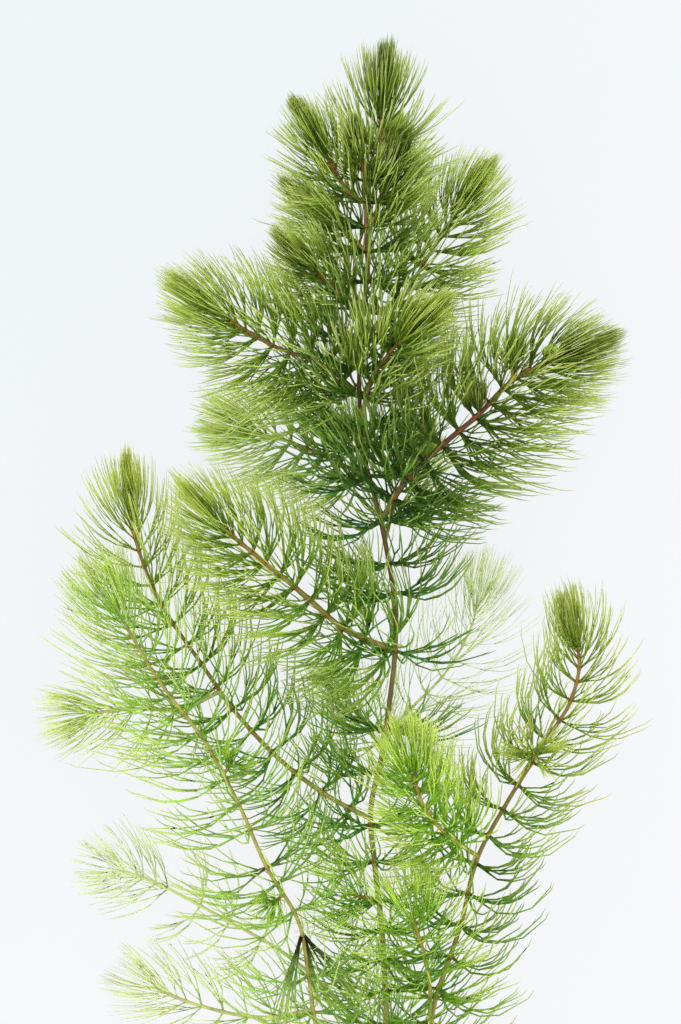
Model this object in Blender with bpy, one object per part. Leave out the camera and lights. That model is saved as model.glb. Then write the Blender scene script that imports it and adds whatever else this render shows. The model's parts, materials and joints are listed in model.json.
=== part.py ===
"""Soft hornwort: one cut sprig that lies on a flat surface, in metres, tip toward +Y and +Z up.

A main stem carries side shoots. Every stem carries whorls of forked leaves and ends in a bud.
"""
import math

import bmesh
import bpy
import numpy as np

MM = 0.001
SIDES = 5                   # faces round a stem, one leaf on each in a whorl
MAIN_RADIUS = 0.80 * MM
SIDE_RADIUS = 0.62 * MM
TIP_SLIM = 0.75             # a stem's radius at its tip, as a share of its radius at its foot
NODE_SWELL = 1.3            # the swelling at a whorl, as a share of the stem's radius
NODE_HALF = 0.55 * MM       # half the length of that swelling
GAP = 0.3 * MM              # clear space between neighbouring pieces
LEAF_GAP = 0.35 * MM
OWN_GAP = 0.05 * MM          # between a leaf and its own stem or bud
LEAF_FOOT = 3.0 * MM         # the run of a leaf that lies close to its own stem
LEAF_DOTS = 15               # places along a leaf's stalk or prong where its clearance is measured
NEAR = 4.0 * MM              # rods further off than this from a leaf's reach aren't measured
BASE_RUN = 1.2 * MM         # how far a side shoot runs straight out of its parent

# Whorls, counted back from the tip: the first sits under the bud, and the steps grow with age.
WHORL_STEPS = (12.5, 8.0, 9.5, 11.5, 14.0, 15.5)
FIRST_WHORL = 3.5 * MM      # the least distance from a side shoot's foot to its lowest whorl
YOUNG_WHORLS = 2            # these have short straight leaves, the older ones bend
YOUNG_SHARE = 0.72          # a leaf's length under the bud, as a share of its full length
FULL_AGE = 34.0             # mm from the tip at which leaves are full length and wide open
OPEN_YOUNG = 30.0           # degrees between leaf and stem, under the bud
OPEN_OLD = 76.0             # and in the old whorls
STALK_SHARE = 0.42          # where the leaf forks and bends
FORWARD_BEND = 0.58         # the fork's opening as a share of the stalk's
FORK_SPREAD = 13.0          # degrees from the leaf's middle to each prong
FORK_WIDTH = 1.5 * MM
FORK_DEPTH = 0.8 * MM

BUD_LENGTH = 13.0 * MM      # from the youngest whorl to the stem's very tip
BUD_RADIUS = 2.3 * MM
BUD_WIDEST = 0.42           # of the bud's length
BUD_POINT = 0.12 * MM
BUD_LEAF = 18.0             # mm, the leaf length that goes with a bud of this size
BUD_SPIKE = 6.5 * MM
BUD_SPIKE_LEAN = 22.0       # degrees
BUD_SPREAD = 0.18           # a spike's sideways lean, as a share of its length
BUD_HALF = 0.6              # the share of the spikes' length that stands past the stem's tip

DARK_GREEN = (0.07, 0.17, 0.03)
GREEN = (0.13, 0.30, 0.04)
YELLOW_GREEN = (0.30, 0.47, 0.08)

# The middle of the sprig's outline, in the table's millimetres
TABLE_MIDDLE = (0.2, 2.4)

# Every stem: its parent, the length of its full-grown leaves, its colour, its route from foot to
# tip in millimetres with the height above the surface last, and, where it forks, the pieces that
# it is split in, each with the y of its upper end. The main stem's whorls are given by their y.
STEMS = {
    "main_stem": dict(
        parent=None, leaf=21.0, colour=DARK_GREEN, radius=MAIN_RADIUS,
        route=[(16, -143, 14), (14, -127, 15), (13, -111, 17), (12, -93, 20), (10, -75, 22.5),
               (9, -61, 24), (12, -46, 25), (14, -32, 25), (15.5, -18, 26), (15.5, -7, 26),
               (13.5, 7, 26), (11.5, 17, 26), (7, 35, 25), (6, 48, 25), (6, 60, 26),
               (8, 83, 26), (8, 102, 27), (11, 115, 27), (12, 126, 27), (13, 145.5, 27)],
        whorls=(-136, -119, -101, -85.5, -64, -51, -39, -18.5, -3, 16.5, 28, 42, 51, 62, 73, 88,
                101, 114, 128.5),
        pieces={"main_stem_base": -94, "main_stem_low": -57, "main_stem_middle": -11,
                "main_stem_high": 35, "main_stem_crown": 80, "main_stem_tip": None}),
    "top_left_shoot": dict(
        parent="main_stem", leaf=17.0, colour=DARK_GREEN,
        route=[(8, 101, 27), (3, 104, 29), (-1, 110, 32), (-7, 120.5, 36), (-11.5, 130.5, 39)]),
    "top_dark_bud": dict(
        parent="main_stem", leaf=13.0, colour=DARK_GREEN,
        route=[(8, 104.5, 27), (6.5, 112.5, 32), (4, 125, 38)]),
    "top_right_bud": dict(
        parent="main_stem", leaf=15.0, colour=DARK_GREEN,
        route=[(8, 93, 27), (10.5, 99, 26), (14.5, 108.5, 25), (18.5, 123.5, 24)]),
    "top_back_bud": dict(
        parent="main_stem", leaf=14.0, colour=DARK_GREEN,
        route=[(10.5, 114, 27), (14, 119, 19), (17.5, 130, 12)]),
    "high_left_shoot": dict(
        parent="main_stem", leaf=16.0, colour=DARK_GREEN,
        route=[(8, 88, 26), (3, 92.5, 24), (-5, 99.5, 20), (-17.5, 110, 17)]),
    "left_front_shoot": dict(
        parent="main_stem", leaf=16.0, colour=GREEN,
        route=[(6.5, 73, 26), (-1.5, 79, 30), (-10, 86.5, 36), (-18.5, 94.5, 41)]),
    "high_right_shoot": dict(
        parent="main_stem", leaf=16.0, colour=DARK_GREEN,
        route=[(7, 64.5, 26), (12.5, 71, 21), (20.5, 81, 15), (28.5, 94, 12), (43, 114.5, 12)]),
    "right_front_shoot": dict(
        parent="main_stem", leaf=16.0, colour=GREEN,
        route=[(6.5, 42, 25), (9, 53.5, 31), (15.5, 62.5, 38), (23.5, 70, 43), (32, 78, 46)]),
    "big_left_shoot": dict(
        parent="main_stem", leaf=18.0, colour=DARK_GREEN,
        route=[(6.5, 50.5, 25), (-3.5, 57.5, 29), (-18.5, 63.5, 32), (-30.5, 71, 34),
               (-48, 82.5, 35)]),
    "pale_left_shoot": dict(
        parent="main_stem", leaf=16.0, colour=YELLOW_GREEN,
        route=[(8.5, 27.5, 25), (-2, 33, 18), (-15.5, 38.5, 13), (-25, 41, 11), (-42, 46.5, 10)]),
    "back_bud": dict(
        parent="main_stem", leaf=13.0, colour=GREEN,
        route=[(6, 56, 26), (4, 61, 18), (2, 67, 11)]),
    "back_left_bud": dict(
        parent="main_stem", leaf=13.0, colour=GREEN,
        route=[(6.5, 38, 25), (2, 41, 19), (-6, 46.5, 12)]),
    "big_right_shoot": dict(
        parent="main_stem", leaf=19.0, colour=DARK_GREEN, radius=0.7 * MM,
        route=[(11.5, 16, 26), (16.5, 24.5, 29), (27.5, 36, 32), (37.5, 44.5, 34),
               (46.5, 53.5, 35), (59.5, 59.5, 36), (78.5, 66.5, 36)],
        pieces={"big_right_shoot_low": 48, "big_right_shoot_tip": None}),
    "big_right_back_twig": dict(
        parent="big_right_shoot", leaf=13.0, colour=DARK_GREEN,
        route=[(46.5, 53.5, 35), (47, 60.5, 29), (47.5, 68, 24)]),
    "big_right_front_twig": dict(
        parent="big_right_shoot", leaf=13.0, colour=DARK_GREEN,
        route=[(37.5, 44.5, 34), (37, 48.5, 40), (36.5, 54, 47)]),
    "big_right_small_bud": dict(
        parent="big_right_shoot", leaf=10.0, colour=DARK_GREEN,
        route=[(56, 58, 36), (56, 60, 40), (55.5, 63, 45)]),
    "pale_right_shoot": dict(
        parent="main_stem", leaf=14.0, colour=YELLOW_GREEN,
        route=[(13, 11, 26), (17, 25.5, 15), (23.5, 38, 11), (27, 45, 10)]),
    "middle_left_shoot": dict(
        parent="main_stem", leaf=18.0, colour=GREEN, radius=0.7 * MM,
        route=[(14.5, -18.5, 26), (2, -12.5, 29), (-8.5, -3.5, 32), (-20, 6, 35),
               (-30.5, 15, 37), (-43.5, 31.5, 38)]),
    "long_left_shoot": dict(
        parent="main_stem", leaf=18.0, colour=GREEN, radius=0.7 * MM,
        route=[(9, -63.5, 24), (-1.5, -58, 21), (-14.5, -48.5, 19), (-26.5, -36, 18),
               (-36.5, -22, 18), (-48, -4.5, 18), (-54, 11, 18), (-56.5, 35.5, 17)],
        pieces={"long_left_shoot_low": -26, "long_left_shoot_tip": None}),
    "far_left_shoot": dict(
        parent="long_left_shoot", leaf=15.0, colour=YELLOW_GREEN,
        route=[(-31.5, -29.5, 18), (-41, -34, 15), (-56, -34.5, 12), (-80, -38, 11)]),
    "outer_left_stem": dict(
        parent="main_stem", leaf=19.0, colour=YELLOW_GREEN, radius=0.7 * MM,
        route=[(15, -137.5, 14), (3.5, -131.5, 17), (-4.5, -122, 20), (-7.5, -106, 23),
               (-10, -91.5, 25), (-19, -75.5, 27), (-26, -59.5, 28), (-35, -43, 28),
               (-48, -25.5, 27), (-57, -10.5, 25), (-60.5, -4, 24), (-66, 12.5, 22)],
        pieces={"outer_left_stem_low": -86, "outer_left_stem_middle": -45,
                "outer_left_stem_tip": None}),
    "outer_left_back_bud": dict(
        parent="outer_left_stem", leaf=11.0, colour=YELLOW_GREEN,
        route=[(-30.5, -51, 28), (-27.5, -47.5, 34), (-25, -43, 41)]),
    "outer_left_front_bud": dict(
        parent="outer_left_stem", leaf=11.0, colour=YELLOW_GREEN,
        route=[(-14.5, -83.5, 26), (-17.5, -85.5, 33), (-20, -87, 41)]),
    "low_left_back_shoot": dict(
        parent="main_stem", leaf=14.0, colour=YELLOW_GREEN,
        route=[(14.5, -128, 15), (4, -117, 12), (-11, -103, 10), (-32, -90.5, 10),
               (-53, -80, 10), (-67, -76, 10)]),
    "low_left_shoot": dict(
        parent="outer_left_stem", leaf=15.0, colour=YELLOW_GREEN,
        route=[(-6, -114.5, 21.5), (-20, -117.5, 14), (-37.5, -114.5, 11), (-62, -103.5, 10)]),
    "right_stem": dict(
        parent="main_stem", leaf=18.0, colour=GREEN, radius=0.7 * MM,
        route=[(15, -134.5, 14), (23, -125, 16), (26.5, -111.5, 20), (33, -91.5, 25),
               (37.5, -73, 29), (45.5, -58, 30), (56, -42, 31), (62.5, -27, 30), (64.5, -17, 29),
               (61.5, 0.5, 28)],
        pieces={"right_stem_low": -68, "right_stem_tip": None}),
    "right_front_bud": dict(
        parent="right_stem", leaf=13.0, colour=GREEN,
        route=[(52.5, -47.5, 31), (52, -45.5, 38), (51.5, -43.5, 47)]),
    "bright_front_shoot": dict(
        parent="right_stem", leaf=17.0, colour=YELLOW_GREEN,
        route=[(37.5, -73, 29), (30, -67.5, 35), (24, -61, 40), (19, -46, 44), (16.5, -34, 45)]),
    "pale_right_back_shoot": dict(
        parent="main_stem", leaf=16.0, colour=YELLOW_GREEN,
        route=[(13, -41, 25), (19.5, -34.5, 16), (29, -25, 12), (36, -13, 11), (39.5, 12, 11)]),
    "pale_back_shoot": dict(
        parent="main_stem", leaf=14.0, colour=YELLOW_GREEN,
        route=[(12, -45, 25), (6, -35.5, 14), (-2, -26, 9), (-6, -18.5, 8)]),
    "lower_middle_shoot": dict(
        parent="right_stem", leaf=17.0, colour=YELLOW_GREEN,
        route=[(24.5, -119.5, 17), (24.5, -105, 27), (20.5, -90, 36), (17, -80, 41),
               (14.5, -72, 44)]),
    "short_left_shoot": dict(
        parent="main_stem", leaf=14.0, colour=GREEN,
        route=[(11, -85.5, 23), (3.5, -83, 28), (-4.5, -78, 32), (-12, -72, 34)]),
}


def smooth_line(points, step=0.5 * MM):
    """Points every step along a cubic curve through the given points, chord lengths as knots."""
    spans = np.diff(points, axis=0)
    lengths = np.linalg.norm(spans, axis=1)
    slopes = spans / lengths[:, None]
    before, after = lengths[:-1, None], lengths[1:, None]
    inner = (slopes[:-1] * after + slopes[1:] * before) / (before + after)
    tangents = np.concatenate([slopes[:1], inner, slopes[-1:]])
    line = [points[:1]]
    for i, length in enumerate(lengths):
        t = np.linspace(0, 1, max(2, round(length / step) + 1))[1:, None]
        line.append(points[i] * (2 * t**3 - 3 * t**2 + 1)
                    + points[i + 1] * (3 * t**2 - 2 * t**3)
                    + tangents[i] * length * (t**3 - 2 * t**2 + t)
                    + tangents[i + 1] * length * (t**3 - t**2))
    return np.concatenate(line)


def unit(vector):
    return vector / np.linalg.norm(vector)


class Stem:
    """A stem's centre line, measured along its length from the foot."""

    def __init__(self, name, row):
        self.name = name
        self.row = row
        self.foot_radius = row.get("radius", SIDE_RADIUS)
        points = (np.array(row["route"], float) - (*TABLE_MIDDLE, 0)) * MM
        if row["parent"]:
            points = self.leave_parent(stems[row["parent"]], points)
        self.line = smooth_line(points)
        runs = np.linalg.norm(np.diff(self.line, axis=0), axis=1)
        self.along = np.concatenate([[0], np.cumsum(runs)])
        self.length = self.along[-1]
        self.whorls = self.place_whorls()

    def leave_parent(self, parent, points):
        """The route, starting square to the parent and just clear of it."""
        nearest = np.argmin(np.linalg.norm(parent.line - points[0], axis=1))
        s = parent.along[nearest]
        heading = parent.heading(s)
        outward = points[1] - parent.line[nearest]
        outward = unit(outward - heading * (outward @ heading))
        start = parent.line[nearest] + outward * (parent.radius(s) * NODE_SWELL + GAP)
        return np.array([start, start + outward * BASE_RUN, *points[1:]])

    def place_whorls(self):
        """Distances of the whorls from the foot, lowest first."""
        if "whorls" in self.row:
            heights = (np.array(self.row["whorls"]) - TABLE_MIDDLE[1]) * MM
            return [float(np.interp(y, self.line[:, 1], self.along)) for y in heights]
        places = []
        s = self.length - WHORL_STEPS[0] * MM
        while s > FIRST_WHORL:
            places.append(s)
            s -= WHORL_STEPS[min(len(places), len(WHORL_STEPS) - 1)] * MM
        return places[::-1]

    def at(self, s):
        return np.array([np.interp(s, self.along, self.line[:, k]) for k in range(3)])

    def heading(self, s, reach=0.8 * MM):
        return unit(self.at(min(s + reach, self.length)) - self.at(max(s - reach, 0)))

    def radius(self, s):
        return self.foot_radius * (1 - (1 - TIP_SLIM) * s / self.length)


def cut_places(stem):
    """The stem's pieces as (name, start, end), split half way between two whorls near each fork."""
    pieces = stem.row.get("pieces") or {stem.name: None}
    middles = [(a + b) / 2 for a, b in zip(stem.whorls, stem.whorls[1:])]
    result = []
    start = 0.0
    for name, height in pieces.items():
        if height is None:
            result.append((name, start, stem.length))
            break
        asked = np.interp((height - TABLE_MIDDLE[1]) * MM, stem.line[:, 1], stem.along)
        end = min(middles, key=lambda s: abs(s - asked))
        result.append((name, start, end - GAP / 2))
        start = end + GAP / 2
    return result


class Space:
    """The tapered rods that are already in place, for keeping new leaves clear of them."""

    def __init__(self):
        self.rods = []      # start, end, radius at start, radius at end
        self.owners = []    # node number, whorl number, 1 for a prong
        self.table = None

    def add(self, start, end, r0, r1, node, whorl, prong=0):
        self.rods.append([*start, *end, r0, r1])
        self.owners.append([node, whorl, prong])
        self.table = None

    def is_free(self, parts, node, whorl, base):
        """Whether the rods of a new leaf stay clear of all others, its own foot left out."""
        if self.table is None:
            self.table = np.array(self.rods)
            self.tags = np.array(self.owners)
        for start, end, r0, r1, prong in parts:
            same = (self.tags[:, 0] == node) & (self.tags[:, 1] == whorl)
            middles = (self.table[:, :3] + self.table[:, 3:6]) / 2
            halves = np.linalg.norm(self.table[:, 3:6] - self.table[:, :3], axis=1) / 2
            half = np.linalg.norm(end - start) / 2
            near = np.linalg.norm(middles - (start + end) / 2, axis=1) < halves + half + NEAR
            near &= ~(same & ((self.tags[:, 2] == 0) | (prong == 0)))
            rods = self.table[near]
            own = self.tags[near, 0] == node
            t = np.linspace(0, 1, LEAF_DOTS)[:, None]
            dots = start + (end - start) * t
            size = r0 + (r1 - r0) * t
            line = rods[:, 3:6] - rods[:, :3]
            u = ((dots[:, None] - rods[:, :3]) * line).sum(2) / (line * line).sum(1)
            u = np.clip(u, 0, 1)
            apart = np.linalg.norm(dots[:, None] - (rods[:, :3] + u[..., None] * line), axis=2)
            clear = apart - size - (rods[:, 6] + (rods[:, 7] - rods[:, 6]) * u)
            clear -= np.where(own, OWN_GAP, LEAF_GAP)
            at_foot = np.linalg.norm(dots - base, axis=1) < LEAF_FOOT
            clear[np.ix_(at_foot, own)] = 0
            if (clear < 0).any():
                return False
        return True


def lift(point, least):
    """The point, raised to the surface where it would lie below it."""
    return np.array([point[0], point[1], max(point[2], least)])


def leaf_shape(base, forward, outward, length, opening, bent):
    """The fork's place and the two tips of a leaf, laid on the surface where it reaches it."""
    side = np.cross(forward, outward)
    bend = opening * (FORWARD_BEND if bent else 1)
    stalk = length * STALK_SHARE if bent else 0
    fork = base + stalk * (forward * math.cos(opening) + outward * math.sin(opening))
    if bent:
        fork = lift(fork, FORK_WIDTH / 2)
    along = forward * math.cos(bend) + outward * math.sin(bend)
    spread = math.radians(FORK_SPREAD)
    tips = []
    for turn in (-1, 1):
        way = along * math.cos(spread) + side * turn * math.sin(spread)
        tip = lift(fork + way * (length - stalk), 0.0)
        level = unit(tip - fork)
        tips.append(lift(fork + level * (length - stalk), 0.0))
    return fork, tips, side, along


# Each try turns the leaf round its stem (degrees), then scales its length and its opening.
TRIES = [(turn, length, opening)
         for length in (1.0, 0.86, 0.72)
         for opening in (1.0, 0.85, 1.12)
         for turn in (0, 11, -11, 22, -22)]


def fit_leaf(space, node, whorl, stem, s, base, outward, bent):
    """The first shape among the tries that stays clear of everything in place, or None."""
    age = min(1.0, (stem.length - s) / MM / FULL_AGE)
    full = stem.row["leaf"] * MM * (YOUNG_SHARE + (1 - YOUNG_SHARE) * age)
    opening = math.radians(OPEN_YOUNG + (OPEN_OLD - OPEN_YOUNG) * age)
    forward = stem.heading(s)
    side = np.cross(forward, outward)
    for turn, length_scale, opening_scale in TRIES:
        angle = math.radians(turn)
        turned = outward * math.cos(angle) + side * math.sin(angle)
        fork, tips, across, along = leaf_shape(
            base, forward, turned, full * length_scale, opening * opening_scale, bent)
        parts = [(fork, tip, FORK_WIDTH / 2, 0.0, 1) for tip in tips]
        if bent:
            parts.insert(0, (base, fork, FORK_WIDTH / 2, FORK_WIDTH / 2, 0))
        if space.is_free(parts, node, whorl, base):
            for start, end, r0, r1, prong in parts:
                space.add(start, end, r0, r1, node, whorl, prong)
            return fork, tips, across, along
    return None


def split_to_tips(mesh, face, tips, side):
    """Two spikes on one four-sided face, one on each half, drawn out to the given tips."""
    halves = bmesh.ops.triangulate(mesh, faces=[face])["faces"]
    middle = sum((np.array(half.calc_center_median()) for half in halves)) / 2
    points = bmesh.ops.poke(mesh, faces=halves)["verts"]
    for point in points:
        right = (np.array(point.co) - middle) @ side > 0
        point.co = tips[1] if right else tips[0]


def grow_leaf(mesh, face, shape, bent, forward):
    """One leaf out of one face of the stem: a stalk that bends at its fork, and two prongs."""
    fork, tips, side, along = shape
    if bent:
        base = np.array(face.calc_center_median())
        width = max(abs((np.array(v.co) - base) @ side) for v in face.verts)
        face = bmesh.ops.extrude_discrete_faces(mesh, faces=[face])["faces"][0]
        upright = unit(np.cross(along, side))
        if upright @ forward < 0:
            upright = -upright
        for vert in face.verts:
            offset = np.array(vert.co) - base
            across = offset @ side / width * FORK_WIDTH / 2
            rise = math.copysign(FORK_DEPTH / 2, offset @ forward)
            vert.co = fork + side * across + upright * rise
    split_to_tips(mesh, face, tips, side)


def tube_mesh(name, profile, centres, radii, turns):
    """A five-sided tube along the centres with capped ends, made as a curve."""
    curve = bpy.data.curves.new(name + "_path", "CURVE")
    curve.dimensions = "3D"
    curve.bevel_mode = "OBJECT"
    curve.bevel_object = profile
    curve.use_fill_caps = True
    spline = curve.splines.new("POLY")
    spline.points.add(len(centres) - 1)
    for point, centre, radius, turn in zip(spline.points, centres, radii, turns):
        point.co = (*centre, 1)
        point.radius = radius
        point.tilt = turn
    path = bpy.data.objects.new(name + "_path", curve)
    bpy.context.scene.collection.objects.link(path)
    graph = bpy.context.evaluated_depsgraph_get()
    mesh = bpy.data.meshes.new_from_object(path.evaluated_get(graph))
    bpy.data.objects.remove(path)
    bpy.data.curves.remove(curve)
    return mesh


def piece_rings(stem, start, end):
    """The rings of one piece of a stem: distance, radius and turn, and its whorls."""
    step = math.pi / SIDES
    rings = [(start, stem.radius(start), 0.0)]
    whorls = [(i, s) for i, s in enumerate(stem.whorls) if start < s < end]
    for i, s in whorls:
        radius = stem.radius(s) * NODE_SWELL
        rings.append((s - NODE_HALF, radius, i * step))
        rings.append((s + NODE_HALF, radius, i * step))
    last_turn = rings[-1][2]
    if end == stem.length:
        foot = rings[-1][0]
        bud = end - foot
        rings.append((foot + bud * BUD_WIDEST, BUD_RADIUS * bud_scale(stem), last_turn))
        rings.append((end, BUD_POINT, last_turn))
    else:
        rings.append((end, stem.radius(end), last_turn))
    return rings, whorls


def bud_scale(stem):
    """A bud's size follows the length of its stem's leaves."""
    return stem.row["leaf"] / BUD_LEAF


def register_stem(space, node, stem, rings):
    """Fill the space with a piece's stem and bud."""
    for (s0, r0, _), (s1, r1, _) in zip(rings, rings[1:]):
        space.add(stem.at(s0), stem.at(s1), r0, r1, node, -1)
    if rings[-1][1] == BUD_POINT:
        tip = stem.at(stem.length)
        reach = stem.heading(stem.length) * BUD_SPIKE * bud_scale(stem) * BUD_HALF
        space.add(stem.at(rings[-2][0]), tip + reach, rings[-2][1], BUD_RADIUS / 2, node, -1)


def build_piece(space, node, stem, name, rings, whorls, profile):
    """One node: a stretch of stem with its whorls and, at a stem's end, its bud."""
    centres = [stem.at(s) for s, _, _ in rings]
    data = tube_mesh(name, profile, centres, [r for _, r, _ in rings], [t for _, _, t in rings])
    mesh = bmesh.new()
    mesh.from_mesh(data)
    bmesh.ops.remove_doubles(mesh, verts=mesh.verts, dist=0.01 * MM)
    bmesh.ops.recalc_face_normals(mesh, faces=mesh.faces)
    if mesh.calc_volume(signed=True) < 0:
        bmesh.ops.reverse_faces(mesh, faces=mesh.faces)
    for i, s in whorls:
        centre = stem.at(s)
        forward = stem.heading(s)
        near = [f for f in mesh.faces if len(f.verts) == 4 and is_collar(f, centre, forward)]
        young = len(stem.whorls) - i <= YOUNG_WHORLS
        for face in near:
            base = np.array(face.calc_center_median())
            outward = base - centre
            outward = unit(outward - forward * (outward @ forward))
            shape = fit_leaf(space, node, i, stem, s, base, outward, not young)
            if shape:
                grow_leaf(mesh, face, shape, not young, forward)
    if rings[-1][1] == BUD_POINT:
        grow_bud(mesh, stem)
    mesh.to_mesh(data)
    mesh.free()
    data.name = name
    return bpy.data.objects.new(name, data)


def is_collar(face, centre, forward):
    """Whether a face belongs to the swelling round this centre."""
    offset = np.array(face.calc_center_median()) - centre
    ring = max(abs((np.array(v.co) - centre) @ forward) for v in face.verts)
    return abs(offset @ forward) < 0.3 * MM and ring < 2 * NODE_HALF and offset @ offset < (2 * MM) ** 2


def grow_bud(mesh, stem):
    """Short spikes on the bud's upper faces, leaning out of its tip."""
    tip = stem.at(stem.length)
    forward = stem.heading(stem.length)
    scale = bud_scale(stem)
    reach = (1 - BUD_WIDEST) * BUD_LENGTH
    for face in list(mesh.faces):
        centre = np.array(face.calc_center_median())
        depth = (tip - centre) @ forward
        if len(face.verts) != 4 or not 0.1 * reach < depth < 0.75 * reach:
            continue
        outward = centre - tip
        outward = unit(outward - forward * (outward @ forward))
        if (centre - tip) @ outward > BUD_RADIUS * scale:
            continue
        side = np.cross(forward, outward)
        lean = math.radians(BUD_SPIKE_LEAN)
        along = forward * math.cos(lean) + outward * math.sin(lean)
        tips = [centre + (along + side * turn * BUD_SPREAD) * BUD_SPIKE * scale
                for turn in (-1, 1)]
        split_to_tips(mesh, face, [lift(point, 0.0) for point in tips], side)


def leaf_material(name, colour):
    material = bpy.data.materials.new(name)
    material.use_nodes = True
    shader = material.node_tree.nodes["Principled BSDF"]
    shader.inputs["Base Color"].default_value = (*colour, 1)
    shader.inputs["Roughness"].default_value = 0.5
    shader.inputs["Metallic"].default_value = 0.0
    return material


def pentagon_profile():
    """The stem's cross-section, a guide of radius 1."""
    curve = bpy.data.curves.new("stem_section", "CURVE")
    curve.dimensions = "2D"
    spline = curve.splines.new("POLY")
    spline.points.add(SIDES - 1)
    spline.use_cyclic_u = True
    for i, point in enumerate(spline.points):
        angle = 2 * math.pi * i / SIDES
        point.co = (math.cos(angle), math.sin(angle), 0, 1)
    guide = bpy.data.objects.new("stem_section", curve)
    guide.hide_render = True
    guide.display_type = "WIRE"
    return guide


stems = {}


def main():
    for item in list(bpy.data.objects):
        bpy.data.objects.remove(item)
    sprig = bpy.data.collections.new("soft_hornwort")
    guides = bpy.data.collections.new("guides")
    bpy.context.scene.collection.children.link(sprig)
    bpy.context.scene.collection.children.link(guides)
    profile = pentagon_profile()
    guides.objects.link(profile)
    holder = bpy.data.objects.new("sprig", None)
    sprig.objects.link(holder)

    for name, row in STEMS.items():
        stems[name] = Stem(name, row)
    space = Space()
    jobs = []
    for stem in stems.values():
        for name, start, end in cut_places(stem):
            rings, whorls = piece_rings(stem, start, end)
            register_stem(space, len(jobs), stem, rings)
            jobs.append((stem, name, rings, whorls))
    for node, (stem, name, rings, whorls) in enumerate(jobs):
        piece = build_piece(space, node, stem, name, rings, whorls, profile)
        piece.data.materials.append(leaf_material(name + "_green", stem.row["colour"]))
        piece.parent = holder
        sprig.objects.link(piece)


main()
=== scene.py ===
# Soft hornwort: the finished look of a cut sprig that lies on a pale floor, seen from above.
import json
import math

import bpy
import numpy as np
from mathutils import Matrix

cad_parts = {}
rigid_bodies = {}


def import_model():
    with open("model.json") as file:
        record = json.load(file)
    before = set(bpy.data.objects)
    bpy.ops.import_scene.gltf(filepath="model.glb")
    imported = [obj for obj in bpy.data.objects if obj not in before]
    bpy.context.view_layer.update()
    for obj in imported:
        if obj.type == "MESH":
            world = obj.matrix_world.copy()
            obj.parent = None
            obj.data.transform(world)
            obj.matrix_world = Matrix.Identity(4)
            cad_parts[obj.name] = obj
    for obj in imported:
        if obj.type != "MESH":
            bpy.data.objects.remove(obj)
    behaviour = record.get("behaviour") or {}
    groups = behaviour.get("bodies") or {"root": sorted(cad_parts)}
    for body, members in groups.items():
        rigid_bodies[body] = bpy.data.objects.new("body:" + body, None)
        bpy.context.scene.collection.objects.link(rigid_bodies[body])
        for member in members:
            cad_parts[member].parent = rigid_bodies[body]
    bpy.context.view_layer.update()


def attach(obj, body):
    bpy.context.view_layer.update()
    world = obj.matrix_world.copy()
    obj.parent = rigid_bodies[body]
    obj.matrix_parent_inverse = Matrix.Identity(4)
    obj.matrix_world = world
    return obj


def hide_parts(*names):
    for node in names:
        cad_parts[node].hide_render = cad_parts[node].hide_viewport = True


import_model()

mm = 0.001

# The sprig as a whole. The routes below are in millimetres from a point near its middle.
sprig = {
    "middle": (0.2, 2.4),  # mm, the outline's middle in the routes' own numbers
    "leafSeed": 11,
    "shootSeed": 11000,  # plus a shoot's place in the list
    "lineStep": 0.5,  # mm between the points of a centre line,
    "finer": 4,  # and how many times finer its curve is worked out
    "stemLeast": 0.3,  # the least share of a route that has a stem
}

# What a shoot has where its own row doesn't say otherwise.
usual = {
    "parent": "main_stem",  # the stem it grows from
    "thick": 0.6,  # mm, the stem's radius at its foot
    "fine": 1.0,  # times the threads' normal width
    "full": 1.0,  # times the normal number of leaves in a whorl
    "bud": 7,  # the leaves of each whorl in the bud
    "stretch": 1.0,  # times the normal way between whorls
    "bare": 2.5,  # mm at the foot without leaves
    "budBack": 0.8,  # full leaves from the route's end back to the growing point
    "parting": 1.0,  # how widely a leaf's threads part
    "soft": 0,  # degrees that leaves near the tip open further
    "wide": 5,  # degrees that older leaves open further
    "claw": 0,  # degrees that their tips bend in
    "budShade": 0.0,  # how dark the bud is: painted shade for the light that its crowded leaves block
    "gold": 0.5,  # how yellow the shoot's tip is
    "pallor": 0.035,  # how faded it is
    "fresh": 0.15,  # how light the young leaves' feet are
    "paling": 1.0,  # how light the lightest leaf tips are
    "dusk": 0,  # how much darker older leaves' tips are
    "aged": 1.0,  # how blue-green its old leaves are
    "barkAge": 1.0,  # how old the bark at its foot is
    "wilted": (),  # mm, the heights of brown whorls
    "drooping": (),  # mm, the heights of hanging whorls
}

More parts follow.
